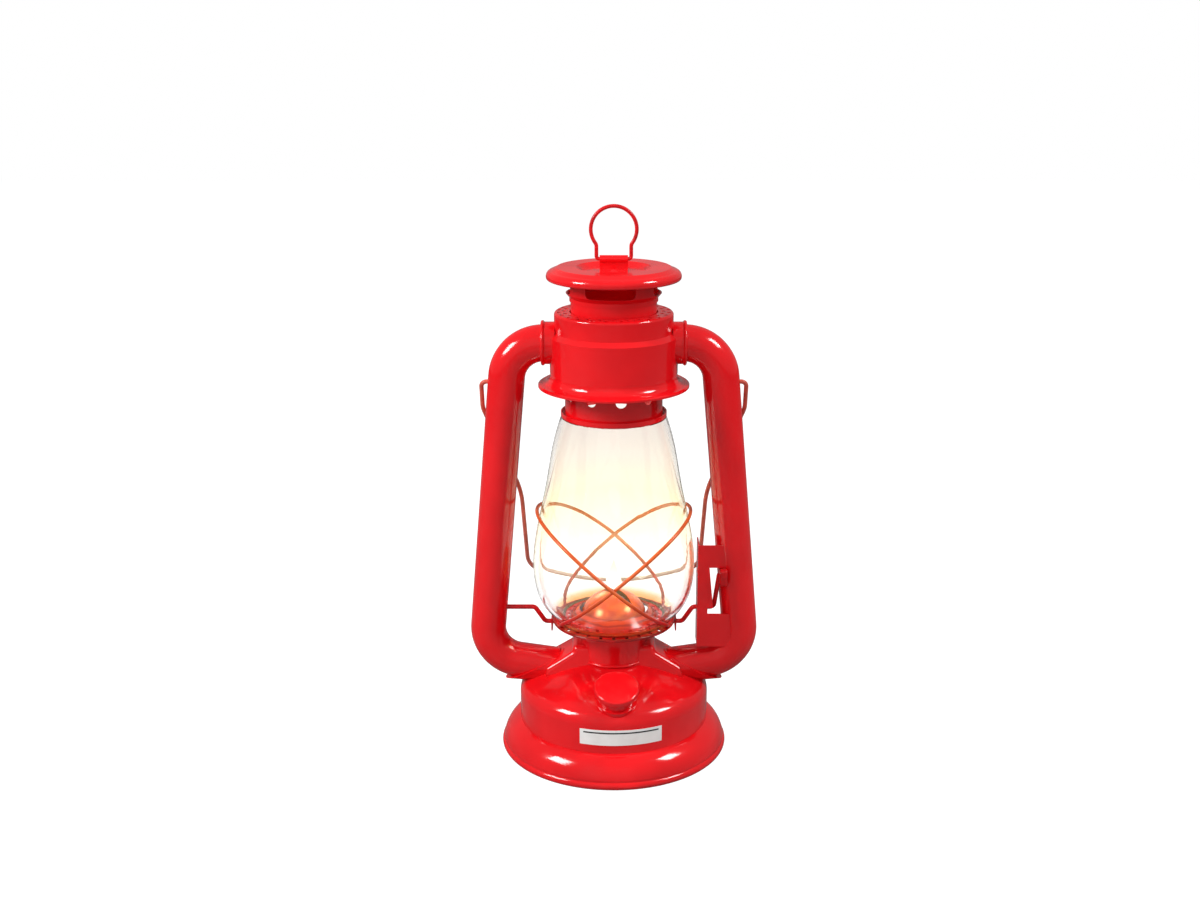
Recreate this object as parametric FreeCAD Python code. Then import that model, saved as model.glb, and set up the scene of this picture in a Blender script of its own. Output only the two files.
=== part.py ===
import FreeCAD, Part
import math
import os

# Kerosene lantern, in millimetres.
# +X is the lever side, -Y is the front, +Z is up.
# The origin is the centre of the circle that the foot stands on.

# Sheet, walls and clearances
sheet = 0.6
tube_sheet = 0.6
plate_sheet = 0.8
glass_wall = 2.0
pivot_gap = 0.05
seat_gap = 0.3
slide_gap = 0.6
through = 60.0

# Foot and skirt
foot_radius = 63.9
foot_bead = 2.4
foot_flat = 0.15
skirt_top = 17.0
skirt_foot_inset = 1.2
skirt_foot_radius = foot_radius - skirt_foot_inset
skirt_foot_height = 5.6
skirt_flare = 3.3
skirt_middle_radius = skirt_foot_radius - skirt_flare
skirt_middle_height = 12.6

# Fount
wall_radius = 53.2
shoulder_round = 9.0
dome_top = 53.8
dome_sphere = 93.6
bottom_height = 18.5
bottom_dish = 2.0
bottom_rim = 3.0
bottom_ledge = 5.0
bottom_slope = 3.0

# Side tubes, given at their centre lines
tube_radius = 9.9
tube_top_height = 232.6
tube_top_reach = 55.8
tube_foot_height = 52.5
tube_foot_reach = 72.35
tube_bend = 20.0
tube_foot_slope = 0.15

# Raised air channels on the dome
boss_radius = 10.8
boss_neck_radius = 8.8
boss_start = 8.0
seat_reach = 43.9
seat_tilt = 62.5
channel_top = 62.4
channel_end = 36.5
channel_end_height = 50.6
channel_step = 22.5
channel_step_height = 58.8
channel_half_width = 11.5
channel_foot_half_width = 14.0
channel_edge = 3.0
channel_step_run = 1.0
channel_end_run = 3.0
channel_end_drop = 8.0

# Air trough under the dome
trough_half_width = 12.0
trough_depth = 15.0

# Burner collar, body and cone
collar_radius = 18.6
collar_foot_height = 49.5
collar_rim_height = 68.5
collar_bead = 0.8
collar_bead_height = 53.0
collar_notch = 3.6
burner_radius = 16.6
burner_base_height = 60.0
burner_foot_radius = 13.4
burner_flange_radius = 17.9
burner_inlet_ring = 11.5
burner_top_height = 79.0
cone_radius = 17.8
cone_base_height = burner_top_height + 1.2
cone_rise = 11.5
cone_top_height = cone_base_height + cone_rise
cone_slot_rise = 2.6
cone_slot_length = 32.0
cone_slot_width = 6.5

# Wick, its tube and its raiser
wick_azimuth = -45.0
wick_width = 16.0
wick_thickness = 2.0
wick_bottom = 22.0
wick_show = 2.0
wick_gap = 0.3
wick_tube_bottom = 31.5
wick_tube_setback = 4.7
wick_tube_top = cone_top_height - wick_tube_setback
wick_top = wick_tube_top + wick_show
spindle_height = 65.5
spindle_radius = 1.2
sprocket_radius = 4.0
sprocket_thickness = 1.0
sprocket_count = 3
sprocket_pitch = 4.6
sprocket_teeth = 12
tooth_depth = 0.9
knob_radius = 6.0
knob_thickness = 3.0
knob_reach = 33.0
knob_flutes = 14
flute_radius = 0.8

# Filler neck and cap
filler_reach = 42.0
filler_azimuth = -88.0
filler_tilt = 22.0
filler_neck_radius = 8.6
cap_radius = 12.25
cap_skirt_radius = 9.6
cap_height = 9.6
cap_standoff = 0.9
cap_wall = 0.7
cap_crown = 0.4
cap_edge = 1.2
gasket_thickness = 1.4

# Fill label
label_azimuth = -85.5
label_arc = 46.0
label_bottom = 22.0
label_height = 9.0
label_thickness = 0.15

# Bell
bell_radius = 34.2
bell_crown_radius = 31.7
bell_flange_radius = 40.6
bell_bottom = 209.5
bell_skirt_height = 217.0
bell_step_height = 238.0
bell_step = 1.2
bell_edge = 1.6
bell_flange_lip = 1.0
bell_flange_dip = 4.2
bell_top = 249.7
bell_hole_radius = 1.1
bell_hole_count = 24
bell_hole_rings = (26.3, 29.3)

# Collars where the tubes meet the bell
tube_collar_length = 3.6
tube_collar_radius = 11.3
tube_collar_bead = 1.0
tube_entry = 3.0

# Chimney
flue_radius = 22.9
flue_top = 257.0
crown_radius = 26.3
crown_top = 214.0
crown_hem_radius = 28.6
crown_hem_height = 192.6
crown_hem_rise = 2.9
crown_hem_round = 0.9
crown_hole_radius = 2.95
crown_hole_height = 206.0
crown_hole_count = 10
crown_hole_azimuth = -81.3
hood_radius = 25.4
hood_slot_count = 4
hood_slot_angle = 62.0
hood_slot_azimuth = -94.6
hood_slot_bottom = 259.8
hood_slot_corner = 2.6
hood_slot_top = 268.4
cap_disc_radius = 35.7
cap_rim_height = 268.0
cap_rim_bead = 1.3
cap_ring_inner = 20.0
cap_ring_outer = 30.0
cap_ring_height = 273.2
cap_recess_radius = 17.0
cap_recess_height = 271.2

# Strap and lift ring
eye_height = 277.3
eye_half_width = 7.4
eye_wall = 0.9
strap_length = 24.0
strap_rivet_reach = 8.5
ring_wire = 1.0
ring_radius = 12.0
ring_centre_height = 292.7
ring_leg_reach = 9.1
ring_foot_reach = 3.0
ring_foot_bend = 1.5
ring_neck_bend = 3.0

# Globe plate
plate_rim_radius = 34.4
plate_rim_bead = 0.8
plate_rim_drop = 1.5
plate_height = 76.5
plate_cone_foot = 24.5
plate_opening = 19.2
plate_opening_rise = 2.5
plate_opening_height = burner_top_height + plate_opening_rise
plate_slope_start = 30.3
plate_slope_end = 33.2
plate_slope_drop = 1.1
plate_hole_radius = 1.1
plate_hole_count = 26
plate_hole_ring = 25.8
rim_hole_radius = 1.05
rim_hole_count = 28
rim_hole_ring = 31.9
rim_hole_side = 0.9
ear_reach = 35.2
ear_front = -3.0
ear_back = 11.6
ear_bottom = 68.4
ear_slot_margin = 0.4

# Globe outline from the foot to the top edge, as radius and height
globe_outline = [
    (29.8, 76.8), (34.2, 79.6), (38.4, 84.0), (41.6, 89.5), (43.8, 97.0), (44.8, 108.0),
    (43.7, 121.5), (40.6, 138.0), (36.8, 156.0), (32.8, 178.0), (31.1, 184.5), (29.8, 188.8),
    (28.5, 192.6),
]

# Guard wires
guard_wire = 1.0
guard_gap = 0.9
guard_low_reach = 31.0
guard_high_reach = 45.0
guard_high_height = 141.0
guard_bow = 5.0
guard_foot_angle = 24.0
guard_foot_run = 8.0
guard_foot_reach = 32.6
guard_corners = 18

# Bail
bail_wire = 1.2
bail_pivot_height = 211.5
bail_lean = 20.0
bail_foot_reach = 64.8
bail_shoulder_reach = 71.2
bail_shoulder_drop = 17.0
bail_waist_reach = 52.3
bail_waist_drop = 74.0
bail_hip_reach = 50.2
bail_hip_drop = 131.0
bail_bottom_drop = 143.6
bail_shoulder_bend = 3.0
bail_side_bend = 15.0
bail_waist_bend = 60.0
bail_hip_bend = 12.0
bail_bottom_bend = 90.0

# Lift lever and left crank
lever_wire = 1.3
lever_pivot_y = -2.0
crank_throw = 10.0
crank_rest_angle = -75.0
crank_low_drop = 3.66
crank_end_reach = 31.0
crank_low_reach = 38.6
crank_high_reach = 44.2
lever_turn = 70.0
lever_arm_reach = 56.0
lever_arm_angle = 16.0
lever_arm_length = 22.5
lever_arm_lean = 2.2
lever_bend = 2.6
nub_width = 4.6
nub_height = 9.8
nub_thickness = 4.2
nub_lead = 2.4
nub_shift = 2.2
nub_drop = 1.0
nub_round = 1.4
left_crank_reach = 62.5

# The crank's low point lies in the ears of the globe plate, and the pivot stands above it.
lever_pivot_height = plate_height - crank_low_drop - crank_throw * math.sin(math.radians(crank_rest_angle))

# Lever bracket
bracket_front = -8.4
bracket_left = 47.2
bracket_bottom = 61.0
bracket_top = 121.0
bracket_back = 6.0
window_left_top = 52.9
window_left_bottom = 55.3
window_top = 108.0
window_bottom = 84.2
notch_left = 52.2
notch_bottom = 80.6


def at(x, y, z):
    return FreeCAD.Vector(x, y, z)


def around(azimuth, radius, z=0.0):
    angle = math.radians(azimuth)
    return at(radius * math.cos(angle), radius * math.sin(angle), z)


def export(name, shape):
    shape.exportStep("parts/" + name + ".step")
    print(name, "solids", len(shape.Solids), "volume", round(shape.Volume, 1), "valid", shape.isValid())


def mirror_x(shape):
    return shape.mirror(at(0, 0, 0), at(1, 0, 0))


# An outline is a list of points, and an arc is written as its middle point and its end.
def outline(points):
    edges = []
    last = points[0]
    for entry in points[1:]:
        if isinstance(entry, tuple):
            middle, end = entry
            edges.append(Part.Arc(last, middle, end).toShape())
            last = end
        elif last.distanceToPoint(entry) > 1e-6:
            edges.append(Part.LineSegment(last, entry).toShape())
            last = entry
    if last.distanceToPoint(points[0]) > 1e-6:
        edges.append(Part.LineSegment(last, points[0]).toShape())
    return Part.Wire(edges)


def turned(profile):
    points = []
    for entry in profile:
        if isinstance(entry[0], tuple):
            (mr, mz), (er, ez) = entry
            points.append((at(mr, 0, mz), at(er, 0, ez)))
        else:
            points.append(at(entry[0], 0, entry[1]))
    face = Part.Face(outline(points))
    return face.revolve(at(0, 0, 0), at(0, 0, 1), 360)


def bead(radius, height, wire):
    return Part.makeTorus(radius, wire, at(0, 0, height), at(0, 0, 1))


# A path through corner points, each corner rounded with its own bend.
def bent_path(points, bends):
    edges = []
    last = points[0]
    for index in range(1, len(points) - 1):
        corner = points[index]
        back = points[index - 1] - corner
        ahead = points[index + 1] - corner
        back.normalize()
        ahead.normalize()
        half = back.getAngle(ahead) / 2
        bend = bends[index - 1]
        reach = bend / math.tan(half)
        start = corner + back * reach
        end = corner + ahead * reach
        middle_line = back + ahead
        middle_line.normalize()
        middle = corner + middle_line * (bend / math.sin(half) - bend)
        edges.append(Part.LineSegment(last, start).toShape())
        edges.append(Part.Arc(start, middle, end).toShape())
        last = end
    edges.append(Part.LineSegment(last, points[-1]).toShape())
    return Part.Wire(edges)


# A path whose corners are rounded as far as the lines beside them allow.
def rounded_path(points):
    bends = []
    for back, corner, ahead in zip(points, points[1:], points[2:]):
        half = (back - corner).getAngle(ahead - corner) / 2
        run = min(back.distanceToPoint(corner), corner.distanceToPoint(ahead))
        bends.append(0.49 * run * math.tan(half))
    return bent_path(points, bends)


def swept(path, radius):
    start = path.OrderedVertexes[0].Point
    first = path.OrderedEdges[0]
    direction = first.tangentAt(first.FirstParameter)
    if first.valueAt(first.FirstParameter).distanceToPoint(start) > 1e-6:
        direction = first.tangentAt(first.LastParameter) * -1
    circle = Part.Wire([Part.Circle(start, direction, radius).toShape()])
    solid = path.makePipeShell([circle], True, False)
    if solid.Volume < 0:
        solid.reverse()
    return solid


# Foot, skirt and fount

def base_skirt():
    crease = wall_radius
    foot_centre = foot_radius - foot_bead
    slant = sheet * 0.7
    skirt = turned([
        (crease, skirt_top),
        ((skirt_middle_radius, skirt_middle_height), (skirt_foot_radius, skirt_foot_height)),
        (skirt_foot_radius, foot_bead),
        (skirt_foot_radius - sheet, foot_bead),
        (skirt_foot_radius - sheet, skirt_foot_height),
        ((skirt_middle_radius - slant, skirt_middle_height - slant), (crease - sheet, skirt_top)),
    ])
    rolled = bead(foot_centre, foot_bead - foot_flat, foot_bead)
    ground = Part.makeCylinder(4 * through, through, at(0, 0, -through))
    return skirt.fuse(rolled).cut(ground).removeSplitter()


def dome_height(radius, inset):
    sphere = dome_sphere - inset
    return dome_top - dome_sphere + math.sqrt(sphere ** 2 - radius ** 2)


def tube_foot_line(x):
    return tube_foot_height - (tube_foot_reach - x) * tube_foot_slope


# The raised channel steps down from the collar, and its sides lean in.
def channel_block(inset):
    base = skirt_top + bottom_rim
    side = Part.makePolygon([at(x, 0, z) for x, z in (
        (0, base),
        (0, channel_top - inset),
        (channel_step - inset / 2, channel_top - inset),
        (channel_step + channel_step_run - inset, channel_step_height - inset / 2),
        (channel_end - inset, channel_end_height - inset),
        (channel_end + channel_end_run - inset, channel_end_height - channel_end_drop),
        (channel_end + channel_end_run - inset, base),
        (0, base),
    )])
    length = channel_end + channel_end_run + 1
    wide = channel_foot_half_width - inset
    narrow = channel_half_width - inset
    front = Part.makePolygon([at(0, y, z) for y, z in (
        (-wide, base),
        (-wide, dome_height(channel_end, 0)),
        (-narrow, channel_top),
        (narrow, channel_top),
        (wide, dome_height(channel_end, 0)),
        (wide, base),
        (-wide, base),
    )])
    along = Part.Face(side).extrude(at(0, 4 * wide, 0))
    along.translate(at(0, -2 * wide, 0))
    block = along.common(Part.Face(front).extrude(at(length, 0, 0)))
    edges = []
    for edge in block.Edges:
        ends = [vertex.Point for vertex in edge.Vertexes]
        low = min(end.z for end in ends)
        inner = max(end.x for end in ends)
        if low > channel_end_height - 1 and inner > 1:
            edges.append(edge)
    return block.makeFillet(channel_edge - inset, edges)


# The form that the fount's sheet follows, drawn in by the inset.
def fount_form(inset):
    radius = wall_radius - inset
    bend = shoulder_round - inset
    # The shoulder's arc is tangent to the wall and to the dome.
    bend_reach = radius - bend
    rise = math.sqrt((dome_sphere - inset - bend) ** 2 - bend_reach ** 2)
    bend_height = dome_top - dome_sphere + rise
    turn_end = math.atan2(rise, bend_reach)
    edge = bend_reach + bend * math.cos(turn_end)
    body = turned([
        (0, skirt_top),
        (radius, skirt_top),
        (radius, bend_height),
        ((bend_reach + bend * math.cos(turn_end / 2), bend_height + bend * math.sin(turn_end / 2)),
         (edge, dome_height(edge, inset))),
        ((edge / 2, dome_height(edge / 2, inset)), (0, dome_top - inset)),
    ])
    axis = at(1, 0, tube_foot_slope)
    start = at(boss_start, 0, tube_foot_line(boss_start))
    length = wall_radius * 1.3
    spread = (boss_radius - boss_neck_radius) / (seat_reach - boss_start)
    cone = Part.makeCone(boss_neck_radius - inset, boss_neck_radius + spread * length - inset,
                         length, start, axis)
    tilt = math.radians(seat_tilt)
    normal = at(math.cos(tilt), 0, math.sin(tilt))
    seat = at(seat_reach, 0, tube_foot_line(seat_reach)) - normal * inset
    beyond = Part.makeBox(2 * through, 2 * through, through, at(-through, -through, 0))
    turn = FreeCAD.Rotation(at(0, 0, 1), normal)
    beyond.Placement = FreeCAD.Placement(seat, turn).multiply(beyond.Placement)
    floor = Part.makeCylinder(4 * through, through, at(0, 0, skirt_top - through))
    boss = cone.cut(beyond).cut(floor)
    block = channel_block(inset)
    return body.fuse([boss, mirror_x(boss), block, mirror_x(block)])


# The tube's bore opens the seat face only, so it stops inside the boss.
def air_passage(side):
    outer_end = tube_foot_reach - tube_bend
    length = outer_end - seat_reach + tube_radius
    start = at(outer_end, 0, tube_foot_line(outer_end))
    passage = Part.makeCylinder(tube_radius - tube_sheet, length, start, at(-1, 0, -tube_foot_slope))
    return passage if side > 0 else mirror_x(passage)


def filler_frame():
    foot = around(filler_azimuth, filler_reach, dome_height(filler_reach, 0))
    tilt = math.radians(filler_tilt)
    outward = around(filler_azimuth, math.sin(tilt), math.cos(tilt))
    return foot, outward


def filler_cylinder(radius, start, length):
    foot, outward = filler_frame()
    return Part.makeCylinder(radius, length, foot + outward * start, outward)


def fount_shell(outer, inner):
    shell = outer.cut(inner)
    collar_opening = Part.makeCylinder(collar_radius, through, at(0, 0, collar_foot_height))
    neck_opening = filler_cylinder(filler_neck_radius - sheet, -through / 4, through / 2)
    return shell.cut([air_passage(1), air_passage(-1), collar_opening, neck_opening])


def fount_bottom():
    rim = wall_radius - sheet
    dish = bottom_height - bottom_dish
    ledge = rim - bottom_ledge
    edge = ledge - bottom_slope
    return turned([
        (0, dish),
        (edge, dish),
        (ledge, bottom_height),
        (rim, bottom_height),
        (rim, bottom_height + bottom_rim),
        (rim - sheet, bottom_height + bottom_rim),
        (rim - sheet, bottom_height + sheet),
        (ledge - sheet / 2, bottom_height + sheet),
        (edge - sheet / 2, dish + sheet),
        (0, dish + sheet),
    ])


# The trough closes the air way off from the fuel, and hangs from the dome.
def air_trough(inner):
    low = dome_top - trough_depth
    reach = wall_radius

    def channel(inset):
        half = trough_half_width - inset
        return Part.makeBox(2 * reach, 2 * half, through, at(-reach, -half, low + inset))

    trough = channel(0).cut(channel(sheet)).common(inner)
    slot = wick_box(wick_width + 2 * (wick_gap + sheet), wick_thickness + 2 * (wick_gap + sheet),
                    low - sheet, low + 2 * sheet)
    collar = Part.makeCylinder(collar_radius, through, at(0, 0, collar_foot_height))
    return trough.cut([slot, collar])


def wick_box(width, thickness, low, high):
    box = Part.makeBox(width, thickness, high - low, at(-width / 2, -thickness / 2, low))
    box.rotate(at(0, 0, 0), at(0, 0, 1), wick_azimuth)
    return box


# The notch at the collar's rim lets the spindle through when the burner is dropped in.
def burner_collar(outer):
    bore = collar_radius - sheet
    tube = turned([
        (bore, collar_foot_height),
        (collar_radius, collar_foot_height),
        (collar_radius, collar_rim_height),
        (burner_radius + seat_gap, collar_rim_height),
        (burner_radius + seat_gap, collar_rim_height - sheet),
        (bore, collar_rim_height - sheet),
    ])
    ring = bead(collar_radius, collar_bead_height, collar_bead)
    ring = ring.cut([outer, Part.makeCylinder(bore, through, at(0, 0, collar_foot_height))])
    centre, direction = spindle_line()
    notch = Part.makeBox(through, collar_notch, through, at(0, -collar_notch / 2, -collar_notch / 2))
    notch.Placement = FreeCAD.Placement(centre, FreeCAD.Rotation(at(1, 0, 0), direction))
    return tube.fuse(ring).cut(notch).removeSplitter()


# Burner

def burner_body():
    inner = burner_radius - sheet
    body = turned([
        (0, burner_base_height),
        (burner_foot_radius, burner_base_height),
        (burner_radius, burner_base_height + 2.4),
        (burner_radius, collar_rim_height),
        (burner_flange_radius, collar_rim_height),
        (burner_flange_radius, collar_rim_height + sheet),
        (burner_radius, collar_rim_height + 2 * sheet),
        (burner_radius, burner_top_height),
        (cone_radius, burner_top_height),
        (cone_radius, burner_top_height + sheet),
        (inner, burner_top_height + sheet),
        (inner, burner_base_height + 2.4 + sheet * 0.3),
        (burner_foot_radius - sheet / 2, burner_base_height + sheet),
        (0, burner_base_height + sheet),
    ])
    slot = wick_box(wick_width + 2 * (wick_gap + sheet), wick_thickness + 2 * (wick_gap + sheet),
                    burner_base_height - sheet, burner_base_height + 2 * sheet)
    body = body.cut(slot)
    for index in range(4):
        azimuth = wick_azimuth + 45 + index * 90
        foot = around(azimuth, burner_inlet_ring, burner_base_height - 3)
        body = body.cut(Part.makeCylinder(2.2, 8, foot))
    return body


def burner_cone():
    base = burner_top_height + sheet

    def cap(inset):
        radius = cone_radius - inset
        top = cone_top_height - inset
        rise = top - cone_base_height
        sphere = (radius ** 2 + rise ** 2) / (2 * rise)
        half = radius / 2
        middle = top - sphere + math.sqrt(sphere ** 2 - half ** 2)
        return turned([(0, base), (radius, base), (radius, cone_base_height), ((half, middle), (0, top))])

    cone = cap(0).cut(cap(sheet))
    # Two arcs meet at the ends of the slot, which gives it its lens shape.
    half = cone_slot_length / 2
    side = cone_slot_width / 2
    low = cone_base_height + cone_slot_rise
    lens = outline([
        at(-half, 0, low),
        (at(0, side, low), at(half, 0, low)),
        (at(0, -side, low), at(-half, 0, low)),
    ])
    slot = Part.Face(lens).extrude(at(0, 0, through))
    slot.rotate(at(0, 0, 0), at(0, 0, 1), wick_azimuth)
    return cone.cut(slot)


def wick_tube():
    width = wick_width + 2 * (wick_gap + sheet)
    thickness = wick_thickness + 2 * (wick_gap + sheet)
    tube = wick_box(width, thickness, wick_tube_bottom, wick_tube_top)
    bore = wick_box(width - 2 * sheet, thickness - 2 * sheet, wick_tube_bottom - 1, wick_tube_top + 1)
    tube = tube.cut(bore)
    for place in sprocket_places():
        window = Part.makeCylinder(sprocket_radius + 0.5, sprocket_thickness + 0.8,
                                   at(0, 0, -sprocket_thickness / 2 - 0.4))
        window.Placement = spindle_placement(place)
        tube = tube.cut(window)
    return tube


def wick():
    return wick_box(wick_width, wick_thickness, wick_bottom, wick_top)


# The spindle runs along the wick's width, and its sprockets just reach the wick's face.
def spindle_line():
    offset = wick_thickness / 2 + sprocket_radius + pivot_gap * 2
    centre = around(wick_azimuth + 90, offset, spindle_height)
    direction = around(wick_azimuth + 180, 1)
    return centre, direction


def spindle_placement(distance):
    centre, direction = spindle_line()
    return FreeCAD.Placement(centre + direction * distance, FreeCAD.Rotation(at(0, 0, 1), direction))


def sprocket_places():
    middle = (sprocket_count - 1) / 2
    return [(index - middle) * sprocket_pitch for index in range(sprocket_count)]


def spindle_hole():
    centre, direction = spindle_line()
    start = centre + direction * (wick_width / 2)
    return Part.makeCylinder(spindle_radius + pivot_gap, knob_reach, start, direction)


def wick_spindle():
    inner_end = sprocket_places()[0] - 2.0
    rod = Part.makeCylinder(spindle_radius, knob_reach + knob_thickness - inner_end)
    rod.Placement = spindle_placement(inner_end)
    return rod


def sprocket(place):
    wheel = Part.makeCylinder(sprocket_radius, sprocket_thickness, at(0, 0, -sprocket_thickness / 2))
    root = sprocket_radius - tooth_depth
    for index in range(sprocket_teeth):
        azimuth = 360 / sprocket_teeth * (index + 0.5)
        notch = Part.makeCylinder(tooth_depth, 4, around(azimuth, root + tooth_depth, -2))
        wheel = wheel.cut(notch)
    wheel = wheel.cut(Part.makeCylinder(spindle_radius, 4, at(0, 0, -2)))
    wheel.Placement = spindle_placement(place)
    return wheel


def wick_knob():
    knob = Part.makeCylinder(knob_radius, knob_thickness)
    for index in range(knob_flutes):
        knob = knob.cut(Part.makeCylinder(flute_radius, knob_thickness + 2,
                                          around(360 / knob_flutes * index, knob_radius + 0.2, -1)))
    knob = knob.cut(Part.makeCylinder(spindle_radius, knob_thickness + 2, at(0, 0, -1)))
    knob.Placement = spindle_placement(knob_reach)
    return knob


# Filler

def gasket_bottom():
    return cap_standoff + cap_height - cap_wall - pivot_gap - gasket_thickness


def filler_neck(outer):
    height = gasket_bottom() - pivot_gap
    tube = filler_cylinder(filler_neck_radius, -6, 6 + height)
    tube = tube.cut(filler_cylinder(filler_neck_radius - sheet, -7, 8 + height))
    flange = filler_cylinder(filler_neck_radius + 2.4, -3, 3.6)
    flange = flange.cut(filler_cylinder(filler_neck_radius, -7, 20))
    return tube.fuse(flange).cut(outer).removeSplitter()


def along_filler(shape):
    foot, outward = filler_frame()
    shape.Placement = FreeCAD.Placement(foot, FreeCAD.Rotation(at(0, 0, 1), outward))
    return shape


def filler_cap():
    top = cap_standoff + cap_height
    inner = cap_skirt_radius - cap_wall
    waist = cap_standoff + cap_height * 0.45
    edge = cap_radius - cap_edge
    dome = (edge ** 2 + cap_crown ** 2) / (2 * cap_crown)
    half_way = top + cap_crown - dome + math.sqrt(dome ** 2 - edge ** 2 / 4)
    cap = turned([
        (inner, cap_standoff),
        (cap_skirt_radius, cap_standoff),
        (cap_skirt_radius, waist),
        (cap_radius - 0.6, waist + 1.4),
        ((cap_radius, waist + 2.2), (cap_radius, waist + 3.0)),
        (cap_radius, top - cap_edge),
        ((cap_radius - cap_edge * 0.29, top - cap_edge * 0.29), (edge, top)),
        ((edge / 2, half_way), (0, top + cap_crown)),
        (0, top - cap_wall),
        (inner, top - cap_wall),
    ])
    return along_filler(cap)


def cap_gasket():
    gasket = Part.makeCylinder(cap_skirt_radius - cap_wall - 2 * pivot_gap, gasket_thickness,
                               at(0, 0, gasket_bottom()))
    return along_filler(gasket)


def fill_label():
    half = math.degrees(label_arc / wall_radius) / 2
    band = Part.makeCylinder(wall_radius + label_thickness, label_height, at(0, 0, label_bottom),
                             at(0, 0, 1), 2 * half)
    band.rotate(at(0, 0, 0), at(0, 0, 1), label_azimuth - half)
    return band.cut(Part.makeCylinder(wall_radius, label_height + 2, at(0, 0, label_bottom - 1)))


# Side tubes

def tube_path(end_reach):
    points = [
        at(bell_crown_radius - tube_entry, 0, tube_top_height),
        at(tube_top_reach, 0, tube_top_height),
        at(tube_foot_reach, 0, tube_foot_height),
        at(end_reach, 0, tube_foot_line(end_reach)),
    ]
    return bent_path(points, [tube_bend, tube_bend])


def tube_solid(radius, end_reach):
    return swept(tube_path(end_reach), radius)


def side_tube(outer, bell_form):
    tube = tube_solid(tube_radius, seat_reach - 12).cut(tube_solid(tube_radius - tube_sheet, seat_reach - 12))
    tube = tube.cut([outer, bell_form])
    return max(tube.Solids, key=lambda solid: solid.Volume)


def tube_collar(bell_form):
    start = bell_radius - tube_entry
    length = tube_collar_length + tube_entry
    ring = Part.makeCylinder(tube_collar_radius, length, at(start, 0, tube_top_height), at(1, 0, 0))
    lip = Part.makeTorus(tube_collar_radius - tube_collar_bead / 4, tube_collar_bead,
                         at(start + length, 0, tube_top_height), at(1, 0, 0))
    ring = ring.fuse(lip)
    bore = x_hole(tube_radius, 0, tube_top_height, start - tube_entry, length + 3 * tube_entry)
    ring = ring.cut([bore, bell_form])
    return max(ring.Solids, key=lambda solid: solid.Volume)


def x_hole(radius, y, z, start, length):
    return Part.makeCylinder(radius, length, at(start, y, z), at(1, 0, 0))


# Bell

def bell_profile(inset):
    crown = bell_crown_radius - inset
    edge = bell_edge - inset
    corner = edge * (1 - math.cos(math.radians(45)))
    top = bell_top - inset
    return turned([
        (0, bell_bottom),
        (bell_radius - inset, bell_bottom),
        (bell_radius - inset, bell_step_height - bell_step - inset / 2),
        (crown, bell_step_height + bell_step - inset / 2),
        (crown, top - edge),
        ((crown - corner, top - corner), (crown - edge, top)),
        (0, top),
    ])


def bell():
    shell = bell_profile(0).cut(bell_profile(sheet))
    skirt = bell_skirt_height - bell_bottom
    shell = shell.cut(Part.makeCylinder(bell_radius, skirt, at(0, 0, bell_bottom)))
    dip = bell_skirt_height - bell_flange_dip
    lip = bell_flange_radius - bell_flange_lip
    flange = turned([
        (bell_radius, bell_skirt_height),
        ((bell_radius + bell_flange_lip, dip), (lip, bell_bottom + sheet + bell_flange_lip)),
        (bell_flange_radius, bell_bottom + bell_flange_lip),
        (bell_flange_radius, bell_bottom),
        (lip - sheet, bell_bottom + bell_flange_lip),
        ((bell_radius + bell_flange_lip - sheet, dip - sheet), (bell_radius - sheet, bell_skirt_height)),
    ])
    shell = shell.fuse(flange).removeSplitter()
    shell = shell.cut(Part.makeCylinder(flue_radius + slide_gap, through, at(0, 0, bell_top - through / 2)))
    holes = []
    for row, ring in enumerate(bell_hole_rings):
        for index in range(bell_hole_count):
            azimuth = 360 / bell_hole_count * (index + row / 2)
            start = around(azimuth, ring, bell_top - 2 * sheet)
            holes.append(Part.makeCylinder(bell_hole_radius, 4 * sheet, start))
    for side in (1, -1):
        start = at(side * bell_radius / 2, 0, tube_top_height)
        holes.append(Part.makeCylinder(tube_radius - tube_sheet, bell_radius, start, at(side, 0, 0)))
    return shell.cut(holes)


# Chimney

def chimney_crown():
    inner = crown_radius - sheet
    low = crown_hem_height
    tip = low + crown_hem_rise
    curve = crown_hem_round
    lean = curve * 0.3
    shell = turned([
        (flue_radius - sheet, crown_top - sheet),
        (flue_radius - sheet, crown_top),
        (crown_radius - 1.5, crown_top),
        ((crown_radius - 0.44, crown_top - 0.44), (crown_radius, crown_top - 1.5)),
        (crown_radius, low + sheet),
        (crown_hem_radius - curve, low + sheet),
        (crown_hem_radius - sheet, low + curve),
        (crown_hem_radius - sheet, tip),
        (crown_hem_radius, tip),
        (crown_hem_radius, low + curve),
        ((crown_hem_radius - lean, low + lean), (crown_hem_radius - curve, low)),
        (inner + curve, low),
        ((inner + lean, low + lean), (inner, low + curve)),
        (inner, crown_top - 1.5),
        ((crown_radius - 0.9, crown_top - 0.9), (crown_radius - 1.5, crown_top - sheet)),
    ])
    for index in range(crown_hole_count):
        azimuth = crown_hole_azimuth + 360 / crown_hole_count * index
        start = around(azimuth, crown_radius - 6, crown_hole_height)
        shell = shell.cut(Part.makeCylinder(crown_hole_radius, 12, start, around(azimuth, 1)))
    return shell


def flue():
    tube = Part.makeCylinder(flue_radius, flue_top - crown_top, at(0, 0, crown_top))
    return tube.cut(Part.makeCylinder(flue_radius - sheet, through, at(0, 0, crown_top - 1)))


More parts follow.
